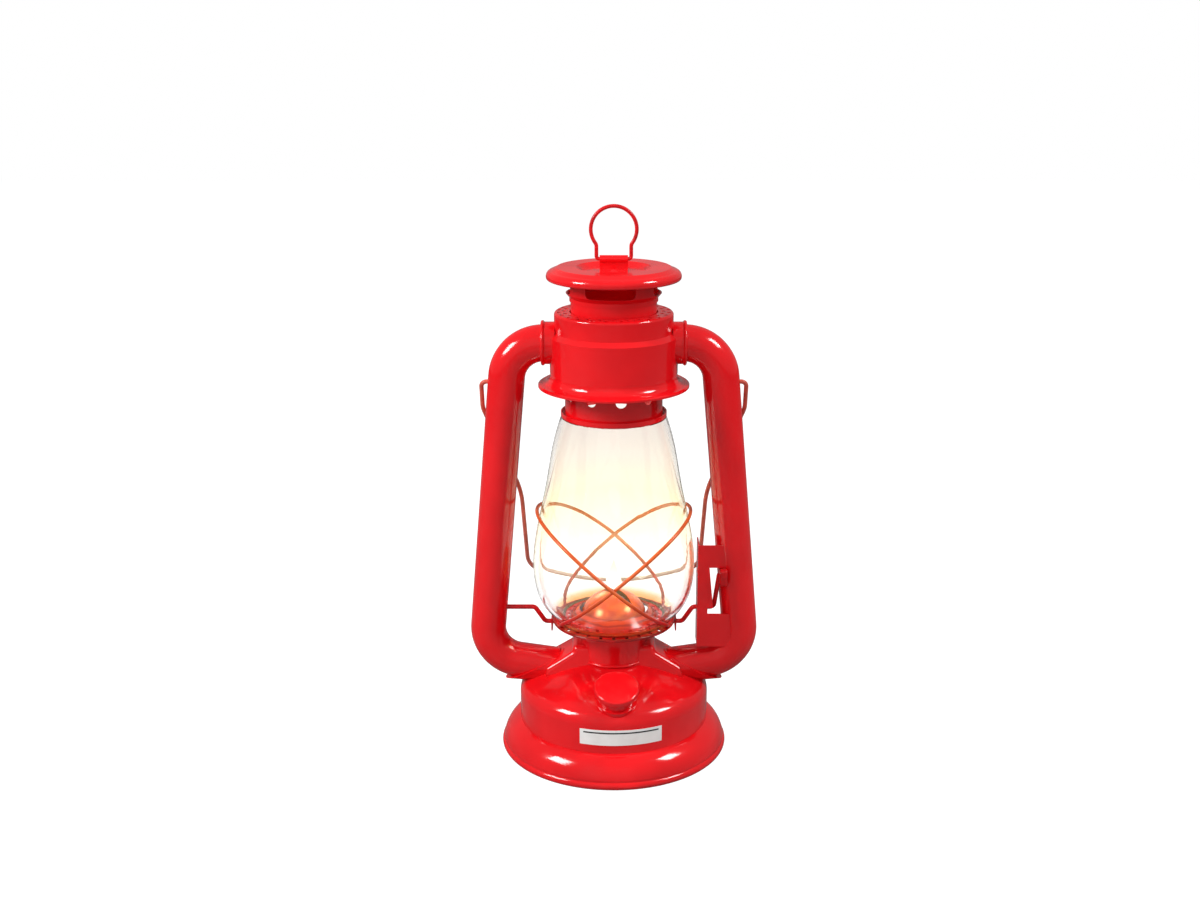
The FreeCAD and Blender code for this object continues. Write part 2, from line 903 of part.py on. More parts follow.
def hood_band():
    low = flue_top - 1.5
    join = flue_radius + sheet
    top = cap_ring_height - plate_sheet
    band = turned([
        (flue_radius, low),
        (join, low),
        (join, low + 2.0),
        (hood_radius, low + 4.2),
        (hood_radius, top - 1.0),
        (hood_radius, top),
        (hood_radius - sheet, top),
        (hood_radius - sheet, low + 4.4),
        (join - sheet, low + 2.2),
    ])
    for index in range(hood_slot_count):
        azimuth = hood_slot_azimuth + 90 * index
        band = band.cut(hood_slot(azimuth))
    return band


# A slot with its lower corners rounded, cut outward through the band's wall.
def hood_slot(azimuth):
    core = Part.makeCylinder(hood_radius - 4, 2 * through, at(0, 0, 0))
    corner_angle = math.degrees(math.asin(hood_slot_corner / hood_radius))
    middle = hood_slot_bottom + hood_slot_corner
    tools = []
    for low, high, angle in (
        (middle, hood_slot_top, hood_slot_angle),
        (hood_slot_bottom, hood_slot_top, hood_slot_angle - 2 * corner_angle),
    ):
        wedge = Part.makeCylinder(hood_radius + 4, high - low, at(0, 0, low), at(0, 0, 1), angle)
        wedge.rotate(at(0, 0, 0), at(0, 0, 1), azimuth - angle / 2)
        tools.append(wedge)
    for side in (1, -1):
        corner = azimuth + side * (hood_slot_angle / 2 - corner_angle)
        centre = at(0, 0, middle)
        tools.append(Part.makeCylinder(hood_slot_corner, hood_radius + 4, centre, around(corner, 1)))
    core.translate(at(0, 0, hood_slot_bottom - through))
    return tools[0].fuse(tools[1:]).cut(core)


def cap_disc():
    t = plate_sheet
    rim = cap_disc_radius - cap_rim_bead
    disc = turned([
        (0, cap_recess_height),
        (cap_recess_radius, cap_recess_height),
        (cap_ring_inner, cap_ring_height),
        (cap_ring_outer, cap_ring_height),
        (cap_ring_outer + 3.0, cap_ring_height - 1.6),
        ((rim + 0.9, cap_rim_height + 2.1), (cap_disc_radius, cap_rim_height)),
        (cap_disc_radius - t, cap_rim_height),
        ((rim + 0.2, cap_rim_height + 1.4), (cap_ring_outer + 2.6, cap_ring_height - 1.6 - t)),
        (cap_ring_outer - 0.2, cap_ring_height - t),
        (cap_ring_inner + 0.3, cap_ring_height - t),
        (cap_recess_radius + 0.3, cap_recess_height - t),
        (0, cap_recess_height - t),
    ])
    return disc.fuse(bead(rim, cap_rim_height, cap_rim_bead)).removeSplitter()


def ring_strap():
    eye_radius = ring_wire + pivot_gap + eye_wall
    base = Part.makeBox(2 * eye_half_width, strap_length, plate_sheet,
                        at(-eye_half_width, -strap_length / 2, cap_recess_height))
    web = Part.makeBox(2 * eye_half_width, 2 * plate_sheet, eye_height - cap_recess_height,
                       at(-eye_half_width, -plate_sheet, cap_recess_height))
    eye = x_hole(eye_radius, 0, eye_height, -eye_half_width, 2 * eye_half_width)
    strap = base.fuse([web, eye]).removeSplitter()
    bore = x_hole(ring_wire + pivot_gap, 0, eye_height, -eye_half_width - 1, 2 * eye_half_width + 2)
    strap = strap.cut(bore)
    for side in (1, -1):
        strap = strap.cut(rivet_shank(side))
    return strap


def rivet_shank(side):
    return Part.makeCylinder(1.4, plate_sheet, at(0, side * strap_rivet_reach, cap_recess_height))


def strap_rivets():
    heads = []
    for side in (1, -1):
        top = cap_recess_height + plate_sheet
        head = Part.makeSphere(3.0, at(0, side * strap_rivet_reach, top - 1.8))
        head = head.common(Part.makeCylinder(4, 4, at(0, side * strap_rivet_reach, top)))
        heads.append(head.fuse(rivet_shank(side)).removeSplitter())
    return Part.makeCompound(heads)


def lift_ring():
    neck = ring_neck_bend
    reach = ring_leg_reach + neck
    rise = math.sqrt((ring_radius + neck) ** 2 - reach ** 2)
    bend_height = ring_centre_height - rise
    share = ring_radius / (ring_radius + neck)
    join = at(reach * share, 0, ring_centre_height - rise * share)
    half_turn = (math.pi + math.atan2(rise, -reach)) / 2
    bend_middle = at(reach + neck * math.cos(half_turn), 0, bend_height + neck * math.sin(half_turn))
    foot = ring_foot_bend
    foot_middle = foot * math.sin(math.radians(45))
    right = [
        at(ring_foot_reach, 0, eye_height),
        at(ring_leg_reach - foot, 0, eye_height),
        (at(ring_leg_reach - foot + foot_middle, 0, eye_height + foot - foot_middle),
         at(ring_leg_reach, 0, eye_height + foot)),
        at(ring_leg_reach, 0, bend_height),
        (bend_middle, join),
        (at(0, 0, ring_centre_height + ring_radius), at(-join.x, 0, join.z)),
        (at(-bend_middle.x, 0, bend_middle.z), at(-ring_leg_reach, 0, bend_height)),
        at(-ring_leg_reach, 0, eye_height + foot),
        (at(-ring_leg_reach + foot - foot_middle, 0, eye_height + foot - foot_middle),
         at(-ring_leg_reach + foot, 0, eye_height)),
        at(-ring_foot_reach, 0, eye_height),
    ]
    return swept(open_outline(right), ring_wire)


def open_outline(points):
    edges = []
    last = points[0]
    for entry in points[1:]:
        if isinstance(entry, tuple):
            edges.append(Part.Arc(last, entry[0], entry[1]).toShape())
            last = entry[1]
        else:
            edges.append(Part.LineSegment(last, entry).toShape())
            last = entry
    return Part.Wire(edges)


# Globe plate, globe and guard wires

def ear(side):
    axis_y, axis_z = crank_low_point()
    reach = lever_wire + ear_slot_margin
    plate = Part.makeBox(plate_sheet, ear_back - ear_front, plate_height - plate_rim_drop - ear_bottom,
                         at(ear_reach - plate_sheet, ear_front, ear_bottom))
    # The slot lets the crank swing across while the plate rises straight.
    front = axis_y - reach
    back = lever_pivot_y + crank_throw + reach
    low = axis_z - reach - crank_lag()
    high = axis_z + reach - 0.1
    slot = Part.makeBox(3, back - front, high - low, at(ear_reach - 2, front, low))
    low_rim = plate_height - plate_rim_drop
    tab = Part.makeBox(plate_sheet + 4, ear_back - ear_front, plate_sheet,
                       at(ear_reach - plate_sheet - 4, ear_front, low_rim - plate_sheet / 2))
    plate = plate.cut(slot).fuse(tab)
    return plate if side > 0 else mirror_x(plate)


def crank_low_point():
    angle = math.radians(crank_rest_angle)
    return lever_pivot_y + crank_throw * math.cos(angle), lever_pivot_height + crank_throw * math.sin(angle)


def lift_height():
    start = math.sin(math.radians(crank_rest_angle))
    end = math.sin(math.radians(crank_rest_angle + lever_turn))
    return crank_throw * (end - start)


# How far the crank's height falls behind a steady rise, half way through its turn.
def crank_lag():
    start = math.sin(math.radians(crank_rest_angle))
    middle = math.sin(math.radians(crank_rest_angle + lever_turn / 2))
    return lift_height() / 2 - crank_throw * (middle - start)


def globe_plate():
    t = plate_sheet
    rim = plate_rim_radius - plate_rim_bead
    low = plate_height - plate_rim_drop
    plate = turned([
        (plate_opening, plate_opening_height),
        (plate_cone_foot, plate_height),
        (plate_slope_start, plate_height),
        (plate_slope_end, plate_height - plate_slope_drop),
        (rim, low + t / 2),
        (rim, low - t / 2),
        (plate_slope_end - t / 2, plate_height - plate_slope_drop - t),
        (plate_slope_start - t / 4, plate_height - t),
        (plate_cone_foot - 0.4, plate_height - t),
        (plate_opening, plate_opening_height - t * 1.4),
    ])
    plate = plate.fuse(bead(rim, low, plate_rim_bead))
    for side in (1, -1):
        plate = plate.fuse(ear(side))
    holes = []
    for index in range(plate_hole_count):
        foot = around(360 / plate_hole_count * index, plate_hole_ring, plate_height - 4)
        holes.append(Part.makeCylinder(plate_hole_radius, 8, foot))
    # The rim's holes leave the sides free for the ears and the guard wires' feet.
    for index in range(rim_hole_count):
        foot = around(360 / rim_hole_count * index, rim_hole_ring, plate_height - 4)
        if abs(foot.x) < rim_hole_side * rim_hole_ring:
            holes.append(Part.makeCylinder(rim_hole_radius, 8, foot))
    return plate.cut(holes).removeSplitter()


def globe():
    count = len(globe_outline)
    outer = [at(r, 0, z) for r, z in globe_outline]
    inner = []
    for index, point in enumerate(outer):
        ahead = outer[min(index + 1, count - 1)]
        behind = outer[max(index - 1, 0)]
        run = ahead - behind
        run.normalize()
        inner.append(point + at(-run.z, 0, run.x) * glass_wall)
    # Both edges are cut flat.
    inner[0] = at(inner[0].x - 1.0, 0, outer[0].z)
    inner[-1] = at(outer[-1].x - glass_wall, 0, outer[-1].z)
    outside = Part.BSplineCurve()
    outside.interpolate(outer)
    inside = Part.BSplineCurve()
    inside.interpolate(inner)
    wire = Part.Wire([
        outside.toShape(),
        Part.LineSegment(outer[-1], inner[-1]).toShape(),
        inside.toShape(),
        Part.LineSegment(inner[0], outer[0]).toShape(),
    ])
    return Part.Face(wire).revolve(at(0, 0, 0), at(0, 0, 1), 360)


def globe_radius(height):
    height = max(height, globe_outline[0][1])
    for (r0, z0), (r1, z1) in zip(globe_outline, globe_outline[1:]):
        if height <= z1:
            return r0 + (r1 - r0) * (height - z0) / (z1 - z0)
    return globe_outline[-1][0]


# How far out a wire's centre line lies that keeps clear of the glass on every side.
def guard_reach(height, clear):
    reach = 0
    for step in range(-6, 7):
        angle = math.radians(15 * step)
        reach = max(reach, globe_radius(height + clear * math.sin(angle)) + clear * math.cos(angle))
    return reach


# Each guard wire circles the globe on a slant, low on one side and high on the other.
# Its corners stand outside the ring by as much as their rounding takes off.
def guard(side, offset, plate):
    slope = (guard_high_height - plate_height) / (guard_high_reach + guard_low_reach)
    step = (360 - 2 * guard_foot_angle) / (guard_corners - 1)
    stretch = 1 / math.cos(math.radians(step / 2))
    foot_turn = 180 + guard_foot_angle - guard_foot_run
    points = [around(foot_turn, guard_foot_reach, plate_height - plate_rim_drop + 0.2)]
    for index in range(guard_corners):
        azimuth = math.radians(180 + guard_foot_angle + index * step)
        across = math.sin(azimuth) ** 2
        gap = guard_gap + guard_wire + offset * across ** 2
        radius = guard_low_reach
        for _ in range(12):
            height = (plate_height + guard_wire + guard_bow * across
                      + (radius * math.cos(azimuth) + guard_low_reach) * slope)
            radius = guard_reach(height, gap)
        points.append(at(radius * stretch * math.cos(azimuth), radius * stretch * math.sin(azimuth), height))
    points.append(at(points[0].x, -points[0].y, points[0].z))
    wire = swept(rounded_path(points), guard_wire).cut(plate)
    wire = max(wire.Solids, key=lambda solid: solid.Volume)
    return wire if side > 0 else mirror_x(wire)


# Bail

def bail():
    lean = math.radians(bail_lean)

    def on_bail(x, drop):
        return at(x, drop * math.sin(lean), bail_pivot_height - drop * math.cos(lean))

    right = [
        on_bail(bail_foot_reach, 0),
        on_bail(bail_shoulder_reach, 0),
        on_bail(bail_shoulder_reach, bail_shoulder_drop),
        on_bail(bail_waist_reach, bail_waist_drop),
        on_bail(bail_hip_reach, bail_hip_drop),
    ]
    left = [at(-point.x, point.y, point.z) for point in reversed(right)]
    bends = [bail_shoulder_bend, bail_side_bend, bail_waist_bend, bail_hip_bend]
    points = right + [on_bail(0, bail_bottom_drop)] + left
    return swept(bent_path(points, bends + [bail_bottom_bend] + bends[::-1]), bail_wire)


# Lift lever, left crank and bracket

def crank_points():
    low_y, low_z = crank_low_point()
    return [
        at(crank_end_reach, low_y, low_z),
        at(crank_low_reach, low_y, low_z),
        at(crank_high_reach, lever_pivot_y, lever_pivot_height),
    ]


def lift_lever():
    angle = math.radians(lever_arm_angle)
    rise = at(0, -math.sin(angle), math.cos(angle))
    turn = at(lever_arm_reach, lever_pivot_y, lever_pivot_height)
    tip = turn + rise * lever_arm_length + at(lever_arm_lean, 0, 0)
    path = bent_path(crank_points() + [turn, tip], [lever_bend] * 3)
    nub = Part.makeBox(nub_width, nub_thickness, nub_height,
                       at(-nub_width / 2, -nub_thickness / 2, -nub_height / 2))
    nub = nub.makeFillet(nub_round, nub.Edges)
    turn_of_nub = FreeCAD.Rotation(at(1, 0, 0), lever_arm_angle / 2)
    nub.Placement = FreeCAD.Placement(tip + at(nub_shift, -nub_lead, -nub_drop), turn_of_nub)
    return swept(path, lever_wire).fuse(nub)


def left_crank():
    end = at(left_crank_reach, lever_pivot_y, lever_pivot_height)
    return mirror_x(swept(bent_path(crank_points() + [end], [lever_bend] * 2), lever_wire))


def lever_bracket(outer_tube):
    t = plate_sheet
    reach = tube_foot_reach
    front = Part.makeBox(reach - bracket_left + t, t, bracket_top - bracket_bottom,
                         at(bracket_left - t, bracket_front, bracket_bottom))
    flange = Part.makeBox(t, bracket_back - bracket_front, bracket_top - bracket_bottom,
                          at(bracket_left - t, bracket_front, bracket_bottom))
    window = Part.Face(outline([
        at(window_left_top, 0, window_top),
        at(reach, 0, window_top),
        at(reach, 0, notch_bottom),
        at(notch_left, 0, notch_bottom),
        at(notch_left, 0, window_bottom),
        at(window_left_bottom, 0, window_bottom),
    ])).extrude(at(0, 6, 0))
    window.translate(at(0, bracket_front - 3, 0))
    bracket = front.fuse(flange).removeSplitter().cut(window)
    pivot = x_hole(lever_wire + pivot_gap, lever_pivot_y, lever_pivot_height, bracket_left - 3, 6)
    bracket = bracket.cut(pivot)
    bracket = bracket.cut(outer_tube)
    return max(bracket.Solids, key=lambda solid: solid.Volume)


def main():
    os.makedirs("parts", exist_ok=True)
    outer = fount_form(0)
    inner = fount_form(sheet)
    bell_form = bell_profile(0)
    tube_form = tube_solid(tube_radius, seat_reach - 12)

    export("base_skirt", base_skirt())
    export("fount_shell", fount_shell(outer, inner))
    export("fount_bottom", fount_bottom())
    export("air_trough", air_trough(inner))
    export("filler_neck", filler_neck(outer))
    export("fill_label", fill_label())
    export("burner_collar", burner_collar(outer))
    export("burner_body", burner_body().cut(spindle_hole()))
    export("burner_cone", burner_cone())
    export("wick_tube", wick_tube())

    tube = side_tube(outer, bell_form)
    bail_hole = x_hole(bail_wire + pivot_gap, 0, bail_pivot_height, tube_top_reach + 2, 20)
    crank_hole = x_hole(lever_wire + pivot_gap, lever_pivot_y, lever_pivot_height, tube_top_reach - 8, 14)
    export("right_tube", tube.cut(bail_hole))
    export("left_tube", mirror_x(tube.cut([bail_hole, crank_hole])))
    collar = tube_collar(bell_form)
    export("right_tube_collar", collar)
    export("left_tube_collar", mirror_x(collar))
    export("bell", bell())
    export("lever_bracket", lever_bracket(tube_form))

    plate = globe_plate()
    export("globe_plate", plate)
    export("globe", globe())
    export("guard_wire_a", guard(1, 0, plate))
    export("guard_wire_b", guard(-1, 2 * guard_wire + seat_gap, plate))

    export("chimney_crown", chimney_crown())
    export("flue", flue())
    export("hood_band", hood_band())
    export("cap_disc", cap_disc())
    export("ring_strap", ring_strap())
    export("strap_rivets", strap_rivets())
    export("lift_ring", lift_ring())

    export("lift_lever", lift_lever())
    export("left_crank", left_crank())
    export("bail", bail())

    export("wick_spindle", wick_spindle())
    for number, place in enumerate(sprocket_places(), 1):
        export("wick_sprocket_" + str(number), sprocket(place))
    export("wick_knob", wick_knob())
    export("wick", wick())

    export("filler_cap", filler_cap())
    export("cap_gasket", cap_gasket())


main()
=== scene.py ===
import math

import bmesh
import bpy
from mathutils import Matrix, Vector


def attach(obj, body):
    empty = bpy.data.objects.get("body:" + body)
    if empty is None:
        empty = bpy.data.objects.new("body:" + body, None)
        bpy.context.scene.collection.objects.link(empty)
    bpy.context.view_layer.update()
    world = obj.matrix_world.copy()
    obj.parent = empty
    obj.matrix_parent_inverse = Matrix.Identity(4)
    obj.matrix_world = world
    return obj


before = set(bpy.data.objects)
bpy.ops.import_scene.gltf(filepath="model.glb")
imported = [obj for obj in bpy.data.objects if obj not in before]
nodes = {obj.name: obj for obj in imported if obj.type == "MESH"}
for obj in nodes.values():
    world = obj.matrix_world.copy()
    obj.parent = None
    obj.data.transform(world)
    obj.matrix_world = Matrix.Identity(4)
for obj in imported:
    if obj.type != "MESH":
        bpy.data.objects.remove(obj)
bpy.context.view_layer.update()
mm = 0.001


# Colours are written as sRGB hex and turned to linear here.
def linear(hexColour, alpha=1.0):
    channels = []
    for start in (1, 3, 5):
        value = int(hexColour[start:start + 2], 16) / 255
        channels.append(value / 12.92 if value <= 0.04045 else ((value + 0.055) / 1.055) ** 2.4)
    return (*channels, alpha)


# Adds one node, sets its inputs or properties, and links other nodes into it.
def put(tree, kind, settings=None, links=None):
    node = tree.nodes.new(kind)
    for name, value in (settings or {}).items():
        if isinstance(name, int) or name in node.inputs:
            node.inputs[name].default_value = value
        else:
            setattr(node, name, value)
    for name, source in (links or {}).items():
        tree.links.new(source, node.inputs[name])
    return node


def newMaterial(name):
    material = bpy.data.materials.new(name)
    material.use_nodes = True
    material.node_tree.nodes.clear()
    return material, material.node_tree


def finishMaterial(tree, shader):
    put(tree, "ShaderNodeOutputMaterial", links={"Surface": shader.outputs[0]})


# A noise whose blobs are about the given number of millimetres across.
def grain(tree, size, detail=2.0, distortion=0.0):
    coords = put(tree, "ShaderNodeTexCoord")
    return put(tree, "ShaderNodeTexNoise",
               {"Scale": 1 / (size * mm), "Detail": detail, "Distortion": distortion},
               {"Vector": coords.outputs["Object"]})


def ramp(tree, source, low, high, lowColour, highColour):
    node = put(tree, "ShaderNodeValToRGB", links={"Fac": source})
    node.color_ramp.elements[0].position = low
    node.color_ramp.elements[0].color = lowColour
    node.color_ramp.elements[1].position = high
    node.color_ramp.elements[1].color = highColour
    return node


# A ramp through several places, each with its hex colour.
def manyRamp(tree, source, stops):
    first, *middle, last = stops
    node = ramp(tree, source, first[0], last[0], linear(first[1]), linear(last[1]))
    for place, hexColour in middle:
        node.color_ramp.elements.new(place).color = linear(hexColour)
    return node


def grey(value):
    return (value, value, value, 1.0)


# Red stoving enamel on pressed steel: sprayed and baked, so it is glossy with a faint orange peel.
def redEnamelFinish():
    enamel = {
        "deep": "#DC0E16", "bright": "#EC1119", "cloud": 34.0,
        "roughLow": 0.09, "roughHigh": 0.17, "smudge": 11.0,
        "peel": 2.2, "peelDepth": 0.020, "gloss": 0.6,
    }
    material, tree = newMaterial("redStovingEnamel")
    colour = ramp(tree, grain(tree, enamel["cloud"]).outputs["Fac"], 0.35, 0.65,
                  linear(enamel["deep"]), linear(enamel["bright"]))
    rough = ramp(tree, grain(tree, enamel["smudge"], 4.0).outputs["Fac"], 0.35, 0.7,
                 grey(enamel["roughLow"]), grey(enamel["roughHigh"]))
    bump = put(tree, "ShaderNodeBump", {"Strength": 0.35, "Distance": enamel["peelDepth"] * mm},
               {"Height": grain(tree, enamel["peel"]).outputs["Fac"]})
    shader = put(tree, "ShaderNodeBsdfPrincipled",
                 {"IOR": 1.5, "Specular IOR Level": enamel["gloss"]},
                 {"Base Color": colour.outputs["Color"], "Roughness": rough.outputs["Color"],
                  "Normal": bump.outputs["Normal"]})
    finishMaterial(tree, shader)
    return material


# Enamelled wire: the same red, duller, with darker rubbed lines along it.
# A bail is also worn pale in its middle, where the hand holds it.
def redWireFinish(name, base, rubbed, worn=None):
    wire = {"patch": 5.0, "rough": 0.3, "gloss": 0.35, "wornUpTo": 36, "wholeFrom": 54}
    material, tree = newMaterial(name)
    colour = ramp(tree, grain(tree, wire["patch"], 3.0).outputs["Fac"], 0.3, 0.62, linear(rubbed), linear(base))
    if worn:
        coords = put(tree, "ShaderNodeTexCoord")
        axes = put(tree, "ShaderNodeSeparateXYZ", links={"Vector": coords.outputs["Object"]})
        side = put(tree, "ShaderNodeMath", {"operation": "ABSOLUTE"}, {0: axes.outputs["X"]})
        share = put(tree, "ShaderNodeMapRange",
                    {"From Min": wire["wornUpTo"] * mm, "From Max": wire["wholeFrom"] * mm},
                    {"Value": side.outputs[0]})
        colour = put(tree, "ShaderNodeMixRGB", {"Color1": linear(worn)},
                     {"Fac": share.outputs["Result"], "Color2": colour.outputs["Color"]})
    bump = put(tree, "ShaderNodeBump", {"Strength": 0.4, "Distance": 0.03 * mm},
               {"Height": grain(tree, 1.4).outputs["Fac"]})
    shader = put(tree, "ShaderNodeBsdfPrincipled",
                 {"IOR": 1.5, "Roughness": wire["rough"], "Specular IOR Level": wire["gloss"]},
                 {"Base Color": colour.outputs["Color"], "Normal": bump.outputs["Normal"]})
    finishMaterial(tree, shader)
    return material


# The guard wires: red at their feet, and painted orange higher up for the flame's light falling on them.
def flameLitWireFinish():
    wire = {"ownRed": "#CE1A1C", "flameLitOrange": "#E4642A", "ownRedUpTo": 88, "flameLitFrom": 104, "patch": 4.0,
            "darken": "#B83A1C", "rough": 0.3, "gloss": 0.4}
    material, tree = newMaterial("guardWirePaintedFlameLight")
    coords = put(tree, "ShaderNodeTexCoord")
    axes = put(tree, "ShaderNodeSeparateXYZ", links={"Vector": coords.outputs["Object"]})
    share = put(tree, "ShaderNodeMapRange",
                {"From Min": wire["ownRedUpTo"] * mm, "From Max": wire["flameLitFrom"] * mm},
                {"Value": axes.outputs["Z"]})
    # Painted light: higher up, the red turns orange for the flame's light on the wires.
    flameLight = ramp(tree, share.outputs["Result"], 0.0, 1.0, linear(wire["ownRed"]), linear(wire["flameLitOrange"]))
    patches = ramp(tree, grain(tree, wire["patch"], 3.0).outputs["Fac"], 0.42, 0.66, grey(0.0), grey(0.45))
    colour = put(tree, "ShaderNodeMixRGB", {"Color2": linear(wire["darken"])},
                 {"Fac": patches.outputs["Color"], "Color1": flameLight.outputs["Color"]})
    shader = put(tree, "ShaderNodeBsdfPrincipled",
                 {"IOR": 1.5, "Roughness": wire["rough"], "Specular IOR Level": wire["gloss"]},
                 {"Base Color": colour.outputs["Color"]})
    finishMaterial(tree, shader)
    return material


# Blown soda-lime glass: clear and slightly wavy. Its tint is painted light: orange at its foot for the lit
# plate seen through it, and yellow beside the flame, where it also has a faint painted glow; it is greyer near
# its top.
# Its IOR is lower than the usual 1.5, which keeps the reflection over the burner faint.
def globeGlassFinish():
    glass = {
        "foot": 72, "neck": 193, "wave": 40.0,
        "tintsAndPaintedLight": [(0.0, "#FF9048"), (0.055, "#FFB070"), (0.08, "#FFFFFF"), (0.36, "#FFFFFB"), (0.56, "#FFFCE4"),
                  (0.74, "#FBF6EC"), (1.0, "#F0EAE6")],
        "paintedGlows": [(0.12, "#000000"), (0.20, "#50301A"), (0.30, "#FFE2A0"), (0.50, "#FFDC90"),
                  (0.68, "#000000")],
        "glow": 0.075, "ior": 1.36, "waveDepth": 0.15, "waveStrength": 0.12,
    }
    material, tree = newMaterial("sodaLimeGlass")
    coords = put(tree, "ShaderNodeTexCoord")
    height = put(tree, "ShaderNodeSeparateXYZ", links={"Vector": coords.outputs["Object"]})
    share = put(tree, "ShaderNodeMapRange",
                {"From Min": glass["foot"] * mm, "From Max": glass["neck"] * mm},
                {"Value": height.outputs["Z"]})
    # Painted light: the tint turns orange at the foot and pale yellow beside the flame, and the glow makes the
    # glass give off faint amber and yellow light of its own.
    colour = manyRamp(tree, share.outputs["Result"], glass["tintsAndPaintedLight"])
    glow = manyRamp(tree, share.outputs["Result"], glass["paintedGlows"])
    bump = put(tree, "ShaderNodeBump", {"Strength": glass["waveStrength"], "Distance": glass["waveDepth"] * mm},
               {"Height": grain(tree, glass["wave"], 1.0).outputs["Fac"]})
    shader = put(tree, "ShaderNodeBsdfPrincipled",
                 {"IOR": glass["ior"], "Roughness": 0.0, "Transmission Weight": 1.0,
                  "Emission Strength": glass["glow"]},
                 {"Base Color": colour.outputs["Color"], "Normal": bump.outputs["Normal"],
                  "Emission Color": glow.outputs["Color"]})
    finishMaterial(tree, shader)
    return material


# Drawn brass with a little heat tarnish.
def brassFinish(name, bright, tarnish):
    brass = {"patch": 7.0, "brush": 0.6, "rough": 0.26}
    material, tree = newMaterial(name)
    colour = ramp(tree, grain(tree, brass["patch"], 5.0).outputs["Fac"], 0.32, 0.7,
                  linear(tarnish), linear(bright))
    bump = put(tree, "ShaderNodeBump", {"Strength": 0.3, "Distance": 0.02 * mm},
               {"Height": grain(tree, brass["brush"]).outputs["Fac"]})
    shader = put(tree, "ShaderNodeBsdfPrincipled",
                 {"Metallic": 1.0, "Roughness": brass["rough"]},
                 {"Base Color": colour.outputs["Color"], "Normal": bump.outputs["Normal"]})
    finishMaterial(tree, shader)
    return material


# The burner cone: brass, painted orange for the flame's light on it.
def flameLitConeFinish():
    cone = {"flameLitOrange": "#E86E18", "dull": "#C0420E", "patch": 6.0, "metal": 0.35, "rough": 0.24, "dent": 1.2}
    material, tree = newMaterial("brassPaintedFlameLight")
    colour = ramp(tree, grain(tree, cone["patch"], 4.0).outputs["Fac"], 0.34, 0.68,
                  linear(cone["dull"]), linear(cone["flameLitOrange"]))
    bump = put(tree, "ShaderNodeBump", {"Strength": 0.3, "Distance": 0.03 * mm},
               {"Height": grain(tree, cone["dent"]).outputs["Fac"]})
    shader = put(tree, "ShaderNodeBsdfPrincipled",
                 {"Metallic": cone["metal"], "Roughness": cone["rough"]},
                 {"Base Color": colour.outputs["Color"], "Normal": bump.outputs["Normal"]})
    finishMaterial(tree, shader)
    return material


# The globe plate: red enamel, painted orange near the cone for the flame's light on it, with dark rings that
# are partly its stamping rings and partly painted dark reflection.
def flameLitPlateFinish():
    plate = {"near": 18, "far": 32, "inner": "#D85414", "middle": "#B8260E", "outer": "#C81216",
             "ring": 1.5, "ringsAndDarkReflection": "#5E1408", "rough": 0.14}
    material, tree = newMaterial("enamelPaintedFlameLight")
    coords = put(tree, "ShaderNodeTexCoord")
    flat = put(tree, "ShaderNodeVectorMath", {"operation": "MULTIPLY", 1: (1, 1, 0)},
               {0: coords.outputs["Object"]})
    reach = put(tree, "ShaderNodeVectorMath", {"operation": "LENGTH"}, {0: flat.outputs["Vector"]})
    share = put(tree, "ShaderNodeMapRange",
                {"From Min": plate["near"] * mm, "From Max": plate["far"] * mm},
                {"Value": reach.outputs["Value"]})
    # Painted light: orange near the cone for the flame's light, fading to the enamel's red at the rim.
    flameLight = manyRamp(tree, share.outputs["Result"],
                    [(0.0, plate["inner"]), (0.5, plate["middle"]), (0.9, plate["outer"])])
    # The dark rings are partly stamping rings and partly painted dark reflection.
    rings = put(tree, "ShaderNodeTexWave",
                {"wave_type": "RINGS", "rings_direction": "Z", "Scale": 1 / (plate["ring"] * mm) / 6.3,
                 "Distortion": 3.0, "Detail": 2.0},
                {"Vector": coords.outputs["Object"]})
    streaks = ramp(tree, rings.outputs["Fac"], 0.55, 0.95, grey(0.0), grey(0.6))
    colour = put(tree, "ShaderNodeMixRGB", {"Color2": linear(plate["ringsAndDarkReflection"])},
                 {"Fac": streaks.outputs["Color"], "Color1": flameLight.outputs["Color"]})
    shader = put(tree, "ShaderNodeBsdfPrincipled", {"IOR": 1.5, "Roughness": plate["rough"]},
                 {"Base Color": colour.outputs["Color"]})
    finishMaterial(tree, shader)
    return material


# Zinc-plated steel: pale grey with fine drawing lines.
def zincFinish():
    zinc = {"light": "#C9CACB", "dark": "#96999C", "patch": 4.0, "rough": 0.34}
    material, tree = newMaterial("zincPlate")
    colour = ramp(tree, grain(tree, zinc["patch"], 4.0).outputs["Fac"], 0.3, 0.7,
                  linear(zinc["dark"]), linear(zinc["light"]))
    shader = put(tree, "ShaderNodeBsdfPrincipled", {"Metallic": 1.0, "Roughness": zinc["rough"]},
                 {"Base Color": colour.outputs["Color"]})
    finishMaterial(tree, shader)
    return material


